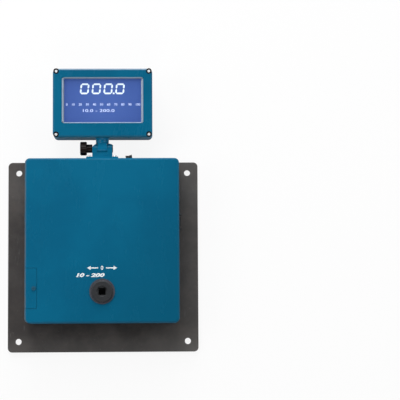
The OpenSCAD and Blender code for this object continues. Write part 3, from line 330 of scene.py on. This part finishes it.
# Circuit board: solder mask over copper tracks, with a grid of plated holes
def makeBoard(name):
    f = Finish(name)
    tracks = f.node(
        "ShaderNodeTexBrick",
        {"offset": 0.5},
        {"Vector": f.place(), "Scale": 90.0, "Mortar Size": 0.06, "Brick Width": 1.7, "Row Height": 0.42},
        result="Fac",
    )
    dots = f.node("ShaderNodeTexVoronoi", {}, {"Vector": f.place(), "Scale": 260.0, "Randomness": 0.15})
    pads = 1 - f.step(dots, 0.20, 0.26)
    mask = f.mix(tracks * 0.8, (0.008, 0.075, 0.030), (0.020, 0.150, 0.060))
    colour = f.mix(pads * f.step(f.noise(70.0), 0.50, 0.60), mask, (0.55, 0.50, 0.38))
    return f.show(f.surface(baseColour=colour, roughness=0.35 + pads * 0.1, normal=f.bump(tracks, 0.00003, 0.5)))


# Backlit liquid crystal: blue, even, with a fine dot grid and a slightly paler middle
liquidCrystal = {
    "edge": (0.043, 0.085, 0.268),
    "middle": (0.057, 0.108, 0.316),
    "gap": (0.014, 0.028, 0.11),
    "glow": 0.55,
    "pitch": 0.0006,
    "gapWidth": 0.00006,
}


def makeCrystal(name, c):
    f = Finish(name)
    low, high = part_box("lcd_panel")
    where = f.place()
    away = f.node("ShaderNodeVectorMath", {"operation": "DISTANCE"}, {0: where, 1: (low + high) / 2}, result="Value")
    paleness = 1 - f.step(away, 0.01, 0.075)
    cloud = f.noise(30.0, 3.0)
    cells = f.node(
        "ShaderNodeTexBrick",
        {"offset": 0.0},
        {"Vector": where, "Scale": 1.0, "Mortar Size": c["gapWidth"], "Brick Width": c["pitch"],
         "Row Height": c["pitch"]},
        result="Fac",
    )
    colour = f.mix(paleness * 0.8 + cloud * 0.2, c["edge"], c["middle"])
    colour = f.mix(cells * 0.10, colour, c["gap"])
    return f.show(f.surface(baseColour=colour, roughness=0.3, specular=0.3, glow=colour, glowStrength=c["glow"]))


# Clear window: lets the screen through and mirrors only at a slant
clearWindow = {"tint": (0.97, 0.98, 1.0, 1.0), "body": (0.02, 0.02, 0.02, 1.0), "bend": 1.46, "mirror": 0.8}


def makeClear(name, c):
    f = Finish(name)
    slant = f.node("ShaderNodeFresnel", {}, {"IOR": c["bend"]})
    back = f.node("ShaderNodeNewGeometry", result="Backfacing")
    smear = f.step(f.noise(45.0, 5.0), 0.5, 0.8)
    through = f.node("ShaderNodeBsdfTransparent", {}, {"Color": c["tint"]})
    mirror = f.surface(baseColour=c["body"], roughness=0.04 + smear * 0.08)
    return f.show(f.blend(slant * c["mirror"] * (1 - back), through, mirror))


# White printing, slightly worn
def makeInk(name, tone=(0.80, 0.84, 0.86), glow=0.0):
    f = Finish(name)
    wear = f.step(f.noise(900.0, 4.0, 0.7), 0.60, 0.72)
    colour = f.mix(wear * 0.35, tone, [0.7 * c for c in tone])
    return f.show(f.surface(baseColour=colour, roughness=0.5, specular=0.3, glow=colour, glowStrength=glow))


finishes = {
    "enamel": makeEnamel("blueEnamel", enamel, wallGloss=0.10, faceStart=(0.88, 0.995), lowerRightShadeShare=0.8, leftHighlight=0.35),
    "castEnamel": makeEnamel("castBlueEnamel", enamel, lift=0.95, gloss=0.14, wallGloss=0.09, upperHighlight=0.75,
                             lowerWallLight=0.20),
    # The arm's and hinge's copies of the paint are lifted brighter as painted light for the shade round the hinge
    "armEnamel": makeEnamel("armBlueEnamel", enamel, lift=1.45, gloss=0.16, wallGloss=0.30),
    "hingeEnamel": makeEnamel("hingeBlueEnamel", enamel, lift=1.18, gloss=0.16, wallGloss=0.30),
    "phosphate": makePhosphate("phosphatedSteel", phosphate),
    "zinc": makeMetal("zincPlate", (0.72, 0.74, 0.76), 0.22),
    "turned": makeMetal("turnedSteel", (0.60, 0.60, 0.60), 0.28, (1.0, 1.0, 12.0)),
    "blackOxide": makeMetal("blackOxide", (0.042, 0.045, 0.050), 0.36, tarnish=(0.05, 0.04, 0.035), metallic=0.5),
    "darkSteel": makeMetal("darkSteel", (0.05, 0.05, 0.052), 0.55, metallic=0.6),
    "bezel": makeMetal("windowBezel", (0.30, 0.38, 0.50), 0.50, metallic=0.2),
    "paintedScrew": makeMoulded("paintedScrew", (0.006, 0.085, 0.150), 0.40, bloom=(0.22, 0.10, 0.11)),
    "brightZinc": makeMetal("brightZinc", (0.88, 0.90, 0.92), 0.42, metallic=0.25),
    "seal": makeMoulded("screwSeal", (0.003, 0.003, 0.0035), 0.60, bloom=(0.02, 0.02, 0.02), sheen=0.12),
    "brass": makeMetal("turnedBrass", (0.70, 0.50, 0.20), 0.26, tarnish=(0.25, 0.15, 0.06)),
    "sleeve": makeMetal("anodisedSleeve", (0.42, 0.42, 0.44), 0.36),
    "canFoil": makeMetal("cellSleeve", (0.50, 0.36, 0.10), 0.30, tarnish=(0.3, 0.2, 0.1), metallic=0.7),
    "screenFrame": makeMetal("screenFrame", (0.62, 0.66, 0.68), 0.40, metallic=0.6),
    "knobPlastic": makeMoulded("knobPlastic", (0.010, 0.0035, 0.0025), 0.30, grain=0.00001,
                               bloom=(0.09, 0.03, 0.025), sheen=0.22),
    "blackPlastic": makeMoulded("blackPlastic", (0.016, 0.016, 0.017), 0.42),
    "rubber": makeMoulded("blackRubber", (0.050, 0.051, 0.068), 0.50),
    "chipPlastic": makeMoulded("chipPlastic", (0.020, 0.020, 0.022), 0.50),
    "whiteGuide": makeMoulded("whiteGuide", (0.80, 0.80, 0.78), 0.35, bloom=(0.6, 0.58, 0.5)),
    "gaugeFoil": makeMoulded("gaugeFoil", (0.55, 0.28, 0.07), 0.25),
    "redLead": makeMoulded("redLead", (0.36, 0.03, 0.02), 0.45),
    "board": makeBoard("circuitBoard"),
    "crystal": makeCrystal("liquidCrystal", liquidCrystal),
    "clear": makeClear("clearWindow", clearWindow),
    "ink": makeInk("legendInk"),
    "dimInk": makeInk("screenSmallInk", (0.64, 0.73, 0.96), 0.50),
    "litInk": makeInk("screenInk", (0.78, 0.88, 0.92), 0.35),
}
print("finishes made:", len(finishes))

# Which finish each node of the frame has; the small fasteners that aren't here are zinc
finishOf = {
    "lid_screws": "brightZinc",
    "door_screw": "paintedScrew",
    "base_plate": "phosphate",
    "housing_cover": "enamel",
    "door_frame": "enamel",
    "battery_door": "enamel",
    "hinge_base": "hingeEnamel",
    "display_arm": "armEnamel",
    "display_housing": "castEnamel",
    "display_lid": "castEnamel",
    "battery_tray": "blackPlastic",
    "battery_cells": "canFoil",
    "strain_gauges": "gaugeFoil",
    "gauge_sleeve": "sleeve",
    "transducer_body": "turned",
    "transducer_screws": "blackOxide",
    "drive_head": "blackOxide",
    "drive_seal": "rubber",
    "pivot_bolt": "blackOxide",
    "friction_washers": "hingeEnamel",
    "clamp_knob": "knobPlastic",
    "knob_insert": "brass",
    "lid_gasket": "rubber",
    "display_window": "clear",
    "lcd_frame": "screenFrame",
    "lcd_panel": "crystal",
    "lcd_backlight": "whiteGuide",
    "display_board": "board",
    "display_pillars": "brass",
    "display_lead": "rubber",
    "switch_body": "blackPlastic",
    "power_rocker": "blackPlastic",
    "charge_jack": "blackPlastic",
    "main_board": "board",
    "board_components": "chipPlastic",
    "board_pillars": "brass",
    "transducer_lead": "rubber",
    "power_leads": "redLead",
    "signal_lead": "rubber",
    "battery_contacts": "turned",
    "drive_pin": "turned",
    "hinge_backing_plate": "turned",
    "data_port": "darkSteel",
    "port_jackscrews": "darkSteel",
    "jack_nut": "darkSteel",
    "arm_nut": "turned",
    "door_receptacle": "turned",
}

# Small rounds that machined and moulded edges have, in metres
edgeRounds = {
    "base_plate": 0.0006,
    "hinge_base": 0.0006,
    "display_arm": 0.0005,
    "clamp_knob": 0.0004,
    "pivot_bolt": 0.0004,
    "drive_head": 0.0003,
    "drive_seal": 0.0004,
    "power_rocker": 0.0004,
    "switch_body": 0.0003,
    "display_lid": 0.0003,
    "display_housing": 0.0003,
    "housing_cover": 0.0003,
    "battery_door": 0.0003,
    "lcd_frame": 0.0002,
    "door_screw": 0.0003,
    "lid_screws": 0.0003,
    "charge_jack": 0.0003,
    "data_port": 0.0002,
}
sharpTurn = 40  # degrees; gentler edges stay as they are


def dressNode(name, obj):
    obj.data.materials.clear()
    obj.data.materials.append(finishes[finishOf.get(name, "zinc")])
    for face in obj.data.polygons:
        face.material_index = 0
    if name in edgeRounds:
        soft = obj.modifiers.new("edgeRound", "BEVEL")
        soft.width = edgeRounds[name]
        soft.segments = 2
        soft.limit_method = "ANGLE"
        soft.angle_limit = math.radians(sharpTurn)
        soft.use_clamp_overlap = True


for nodeName, nodeObject in nodes.items():
    dressNode(nodeName, nodeObject)
print("nodes dressed")


def closeMesh(name, work):
    bmesh.ops.recalc_face_normals(work, faces=work.faces)
    mesh = bpy.data.meshes.new(name)
    work.to_mesh(mesh)
    work.free()
    return mesh


# A mesh becomes a piece with its finish and the body it rides on
def addPiece(name, mesh, finish, body):
    mesh.materials.clear()
    mesh.materials.append(finishes[finish])
    piece = bpy.data.objects.new(name, mesh)
    bpy.context.scene.collection.objects.link(piece)
    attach(piece, body)


# Flat pieces such as printing and screen marks, built from outlines in (X, Y)
def makeFlat(name, outlines, height, thickness, finish, body):
    work = bmesh.new()
    for outline in outlines:
        work.faces.new([work.verts.new((x, y, height)) for x, y in outline])
    bmesh.ops.recalc_face_normals(work, faces=work.faces)
    raised = bmesh.ops.extrude_face_region(work, geom=list(work.faces))
    for item in raised["geom"]:
        if isinstance(item, bmesh.types.BMVert):
            item.co.z += thickness
    addPiece(name, closeMesh(name, work), finish, body)


# Plain figures fitted to a box: left end, base line and height in metres
def makeFigures(name, words, left, base, tall, height, thickness, finish, body, slant=0.0, weight=0.0, wide=None):
    data = bpy.data.curves.new(name, "FONT")
    data.body = words
    data.shear = slant
    data.offset = weight
    data.extrude = 0.5
    data.resolution_u = 3
    source = bpy.data.objects.new(name, data)
    bpy.context.scene.collection.objects.link(source)
    bpy.context.view_layer.update()
    mesh = bpy.data.meshes.new_from_object(source)
    bpy.data.objects.remove(source)
    bpy.data.curves.remove(data)
    low = Vector([min(v.co[i] for v in mesh.vertices) for i in range(3)])
    high = Vector([max(v.co[i] for v in mesh.vertices) for i in range(3)])
    up = tall / (high.y - low.y)
    across = wide / (high.x - low.x) if wide else up
    for v in mesh.vertices:
        v.co.x = left + (v.co.x - low.x) * across
        v.co.y = base + (v.co.y - low.y) * up
        v.co.z = height + thickness * (v.co.z - low.z) / (high.z - low.z)
    addPiece(name, mesh, finish, body)


# Outline of a rectangle with rounded corners, as points round it
def roundedOutline(low, high, radius, steps=6):
    points = []
    centres = [(high[0] - radius, high[1] - radius, 0), (low[0] + radius, high[1] - radius, 90),
               (low[0] + radius, low[1] + radius, 180), (high[0] - radius, low[1] + radius, 270)]
    for x, y, start in centres:
        for i in range(steps + 1):
            turn = math.radians(start + 90 * i / steps)
            points.append((x + radius * math.cos(turn), y + radius * math.sin(turn)))
    return points


def circleOutline(x, y, radius, sides):
    turns = [2 * math.pi * i / sides for i in range(sides)]
    return [(x + radius * math.cos(a), y + radius * math.sin(a)) for a in turns]


# Closed ring through a list of (outline, height), which goes up outside and down inside
def makeRing(name, loops, finish, body):
    work = bmesh.new()
    rows = [[work.verts.new((x, y, height)) for x, y in outline] for outline, height in loops]
    for one, two in zip(rows, rows[1:] + rows[:1]):
        for i in range(len(one)):
            k = (i + 1) % len(one)
            work.faces.new((one[i], one[k], two[k], two[i]))
    addPiece(name, closeMesh(name, work), finish, body)


# Trim round the window: a pale moulded frame with a sloped inner edge
windowTrim = {
    "border": 0.0029,
    "left": 0.0030,
    "right": 0.0022,
    "low": 0.0017,
    "top": 0.0018,
    "corner": 0.0055,
    "slope": 0.0009,
    "under": 0.0005,  # below the lid's face
}


def makeWindowTrim(t):
    low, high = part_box("display_window")
    border, deep = t["border"], high.z
    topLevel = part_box("display_lid")[1].z - t["under"]
    outer = roundedOutline((low.x + border, low.y + border), (high.x - border, high.y - border), t["corner"])
    inLow = (low.x + border + t["left"], low.y + border + t["low"])
    inHigh = (high.x - border - t["right"], high.y - border - t["top"])
    rim = roundedOutline(inLow, inHigh, t["corner"] * 0.35)
    crest = roundedOutline([v - t["slope"] for v in inLow], [v + t["slope"] for v in inHigh], t["corner"] * 0.5)
    loops = [(outer, deep), (outer, topLevel), (crest, topLevel), (rim, topLevel - t["slope"]), (rim, deep)]
    makeRing("windowTrim", loops, "bezel", "display")


makeWindowTrim(windowTrim)
print("window trim made")

# Black cup washers round the lid's four screw heads
screwSeal = {
    "outer": 0.0050,
    "inner": 0.0024,
    "rise": 0.0004,
    "proud": 0.0001,
    "lip": 0.0004,
    "headInset": 0.0032,  # from the edge of the four heads' box to a head's middle
    "sides": 28,
}


def makeScrewSeals(g):
    low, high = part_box("lid_screws")
    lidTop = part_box("display_lid")[1].z
    crest = high.z + g["proud"]
    profile = [
        (g["outer"], lidTop - g["rise"]),
        (g["outer"], lidTop + g["rise"] * 0.5),
        (g["outer"] - g["lip"], lidTop + g["rise"]),
        (g["inner"] + g["lip"], crest),
        (g["inner"], crest),
        (g["inner"], lidTop - g["rise"]),
    ]
    for side, x in (("Left", low.x + g["headInset"]), ("Right", high.x - g["headInset"])):
        for end, y in (("Low", low.y + g["headInset"]), ("High", high.y - g["headInset"])):
            loops = [(circleOutline(x, y, radius, g["sides"]), height) for radius, height in profile]
            makeRing("screwSeal" + side + end, loops, "seal", "display")


makeScrewSeals(screwSeal)
print("screw washers made")

# Saddle that fills the back of the hinge's slot and follows the arm's round knuckle
saddle = {
    "halfWide": 0.00885,
    "floor": 0.1804,  # Y of the slot's back
    "reach": 0.0040,
    "knuckle": 0.0090,
    "slotGap": 0.0015,
    "clear": 0.0004,  # room for the knuckle to turn
    "low": 0.0430,
    "top": 0.0044,
    "lipBack": 0.00685,
    "lipTop": 0.0086,
    "steps": 12,
}


def makeSaddle(g):
    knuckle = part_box("knob_insert")
    axis = (knuckle[0].z + knuckle[1].z) / 2
    centre = g["floor"] + g["slotGap"] + g["knuckle"]
    radius = g["knuckle"] + g["clear"]
    start = -math.sqrt(radius ** 2 - (centre - g["floor"] - g["reach"]) ** 2)
    outline = [(g["floor"], g["low"]), (g["floor"] + g["reach"], g["low"])]
    for i in range(g["steps"] + 1):
        rise = start + (g["top"] - start) * i / g["steps"]
        outline.append((centre - math.sqrt(radius ** 2 - rise ** 2), axis + rise))
    outline += [(centre - g["lipBack"], axis + g["lipTop"]), (g["floor"], axis + g["lipTop"])]
    work = bmesh.new()
    ends = [[work.verts.new((x, y, z)) for y, z in outline] for x in (-g["halfWide"], g["halfWide"])]
    for i in range(len(outline)):
        k = (i + 1) % len(outline)
        work.faces.new((ends[0][i], ends[0][k], ends[1][k], ends[1][i]))
    for end in ends:
        work.faces.new(end)
    addPiece("hingeSaddle", closeMesh("hingeSaddle", work), "hingeEnamel", "tester")


makeSaddle(saddle)
print("hinge saddle made")

# Range legend above the drive: plain numbers and a turning mark either way
legend = {
    "range": "10 - 200",
    "left": -0.0455,
    "wide": 0.0500,
    "base": -0.0397,
    "tall": 0.0070,
    "slant": 0.25,
    "weight": 0.05,
    "markBase": -0.0272,
    "markTall": 0.0072,
    "markHalf": 0.0265,
    "shaft": 0.14,  # half the shaft, the head and the gap beside the zero, as shares of the mark's height
    "head": 0.9,
    "gap": 0.95,
    "zeroBack": 0.32,
    "zeroWeight": 0.02,
    "thickness": 0.00006,
    "sunk": 0.00001,
}


def makeLegend(g):
    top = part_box("housing_cover")[1].z - g["sunk"]
    tall = g["markTall"]
    middle = g["markBase"] + tall / 2
    shaft = tall * g["shaft"]
    marks = []
    for side in (-1, 1):
        tip = side * g["markHalf"]
        neck = tip - side * tall * g["head"]
        tail = side * tall * g["gap"]
        marks.append([(tip, middle), (neck, middle + tall / 2), (neck, middle - tall / 2)])
        marks.append([(neck, middle - shaft), (neck, middle + shaft), (tail, middle + shaft), (tail, middle - shaft)])
    makeFigures("rangeLegend", g["range"], g["left"], g["base"], g["tall"], top, g["thickness"],
                "ink", "tester", slant=g["slant"], weight=g["weight"], wide=g["wide"])
    makeFlat("turnMarks", marks, top, g["thickness"], "ink", "tester")
    makeFigures("zeroMark", "0", -tall * g["zeroBack"], g["markBase"], tall, top, g["thickness"],
                "ink", "tester", weight=g["zeroWeight"])


makeLegend(legend)
print("cover legend printed")

# Screen picture: a reading in seven-segment figures, a numbered scale and the two limits under it
reading = {
    "digits": "000.0",
    "left": -0.0400,
    "right": 0.0440,
    "base": 0.2865,
    "tall": 0.0195,
    "stroke": 0.0030,
    "slant": 0.10,
    "fill": 0.76,  # a figure's share of its cell
    "dotBack": 0.75,
    "scaleSteps": range(0, 101, 10),
    "scaleLeft": -0.0640,
    "scaleRight": 0.0680,
    "scaleBase": 0.2660,
    "scaleTall": 0.0042,
    "limits": "10.0 - 200.0",
    "limitsLeft": -0.0340,
    "limitsRight": 0.0220,
    "limitsBase": 0.2545,
    "limitsTall": 0.0052,
    "lift": 0.00008,
    "thickness": 0.00006,
}
segmentsOf = {
    "0": "abcdef", "1": "bc", "2": "abged", "3": "abgcd", "4": "fgbc",
    "5": "afgcd", "6": "afgedc", "7": "abc", "8": "abcdefg", "9": "abcdfg",
}


# One seven-segment figure as mitred bars in a cell wide and tall, with strokes of a given thickness
def sevenSegments(figure, x, y, wide, tall, stroke, slant):
    gap = stroke * 0.10
    half, point, full = stroke / 2, gap + stroke / 2, gap + stroke

    def levelBar(v):
        return [(point, v), (full, v + half), (wide - full, v + half),
                (wide - point, v), (wide - full, v - half), (full, v - half)]

    def uprightBar(h, low, high):
        return [(h, low + point), (h - half, low + full), (h - half, high - full),
                (h, high - point), (h + half, high - full), (h + half, low + full)]

    bars = {
        "a": levelBar(tall - half),
        "g": levelBar(tall / 2),
        "d": levelBar(half),
        "f": uprightBar(half, tall / 2 - half, tall),
        "b": uprightBar(wide - half, tall / 2 - half, tall),
        "e": uprightBar(half, 0, tall / 2 + half),
        "c": uprightBar(wide - half, 0, tall / 2 + half),
    }
    return [[(x + h + slant * v, y + v) for h, v in bars[s]] for s in segmentsOf[figure]]


def makeReading(r):
    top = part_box("lcd_panel")[1].z + r["lift"]
    figures = [c for c in r["digits"] if c != "."]
    pitch = (r["right"] - r["left"]) / len(figures)
    wide = pitch * r["fill"]
    outlines = []
    for i, figure in enumerate(figures):
        outlines += sevenSegments(figure, r["left"] + i * pitch, r["base"], wide, r["tall"], r["stroke"], r["slant"])
    dot = r["left"] + r["digits"].index(".") * pitch - (pitch - wide) * r["dotBack"]
    outlines.append([(dot, r["base"]), (dot + r["stroke"], r["base"]),
                     (dot + r["stroke"], r["base"] + r["stroke"]), (dot, r["base"] + r["stroke"])])
    makeFlat("readingFigures", outlines, top, r["thickness"], "litInk", "display")
    scale = "    ".join(str(n) for n in r["scaleSteps"])
    makeFigures("scaleFigures", scale, r["scaleLeft"], r["scaleBase"], r["scaleTall"], top,
                r["thickness"], "dimInk", "display", wide=r["scaleRight"] - r["scaleLeft"])
    makeFigures("limitFigures", r["limits"], r["limitsLeft"], r["limitsBase"], r["limitsTall"], top,
                r["thickness"], "dimInk", "display", wide=r["limitsRight"] - r["limitsLeft"])


makeReading(reading)
print("screen picture made")

# Studio: pale floor, soft lamps well off the camera's axis, strongest at the top left
studio = {
    "floorSize": 8.0,
    "floorDrop": 0.0002,
    "floorTone": 0.90,
    "floorGlow": 0.89,
    "zenith": 0.02,
    "horizon": 0.52,
    "topHorizon": 1.6,
    "topFrom": 0.2,  # where the brighter sky behind the display begins and is full
    "topTo": 0.9,
    "zenithFrom": 0.30,
    "zenithTo": 0.80,
    "lamps": [
        ("topLamp", (-0.35, 1.55, 1.75), 1.0, 18.0),
        ("leftLamp", (-1.75, 0.35, 1.9), 1.0, 16.0),
        ("rightLamp", (1.8, 0.35, 1.95), 1.0, 10.0),
        ("lowLamp", (0.0, -1.75, 2.05), 1.0, 12.0),
        ("edgeLamp", (0.0, 2.6, 1.15), 1.1, 24.0),
    ],
    "aim": (0.0, 0.05, 0.0),
}
white = (1.0, 1.0, 1.0, 1.0)


def makeFloor(s):
    half = s["floorSize"] / 2
    mesh = bpy.data.meshes.new("floor")
    mesh.from_pydata([(-half, -half, 0), (half, -half, 0), (half, half, 0), (-half, half, 0)], [], [(0, 1, 2, 3)])
    floor = bpy.data.objects.new("floor", mesh)
    bpy.context.scene.collection.objects.link(floor)
    floor.location.z = -s["floorDrop"]
    f = Finish("paleFloor")
    direct, mirrored, through = (
        f.node("ShaderNodeLightPath", result=ray)
        for ray in ("Is Camera Ray", "Is Glossy Ray", "Is Transmission Ray")
    )
    lit = f.node("ShaderNodeBsdfDiffuse", {}, {"Color": (s["floorTone"],) * 3 + (1.0,)})
    plain = f.node("ShaderNodeEmission", {}, {"Color": white, "Strength": 1.0})
    mesh.materials.append(f.show(f.blend((direct + mirrored + through) * s["floorGlow"], lit, plain)))


def makeSky(s):
    world = bpy.data.worlds.new("studio")
    bpy.context.scene.world = world
    w = Finish("studio", world, "ShaderNodeOutputWorld")

    def sky(strength):
        return w.node("ShaderNodeBackground", {}, {"Color": white, "Strength": strength})

    direction = w.node("ShaderNodeTexCoord", result="Generated")
    behind = w.step(w.axis(direction, "Y"), s["topFrom"], s["topTo"])
    above = w.step(w.axis(direction, "Z"), s["zenithFrom"], s["zenithTo"])
    around = w.blend(behind, sky(s["horizon"]), sky(s["topHorizon"]))
    dome = w.blend(above, around, sky(s["zenith"]))
    direct, through = (w.node("ShaderNodeLightPath", result=ray) for ray in ("Is Camera Ray", "Is Transmission Ray"))
    w.show(w.blend(direct + through, dome, sky(1.0)))


def makeLamps(s):
    for name, place, size, power in s["lamps"]:
        data = bpy.data.lights.new(name, "AREA")
        data.shape = "SQUARE"
        data.size = size
        data.energy = power
        lamp = bpy.data.objects.new(name, data)
        bpy.context.scene.collection.objects.link(lamp)
        lamp.location = place
        lamp.rotation_euler = (Vector(s["aim"]) - Vector(place)).to_track_quat("-Z", "Y").to_euler()


makeFloor(studio)
makeSky(studio)
makeLamps(studio)
bpy.context.scene.view_settings.view_transform = "Standard"
print("studio lit")

bpy.context.view_layer.update()
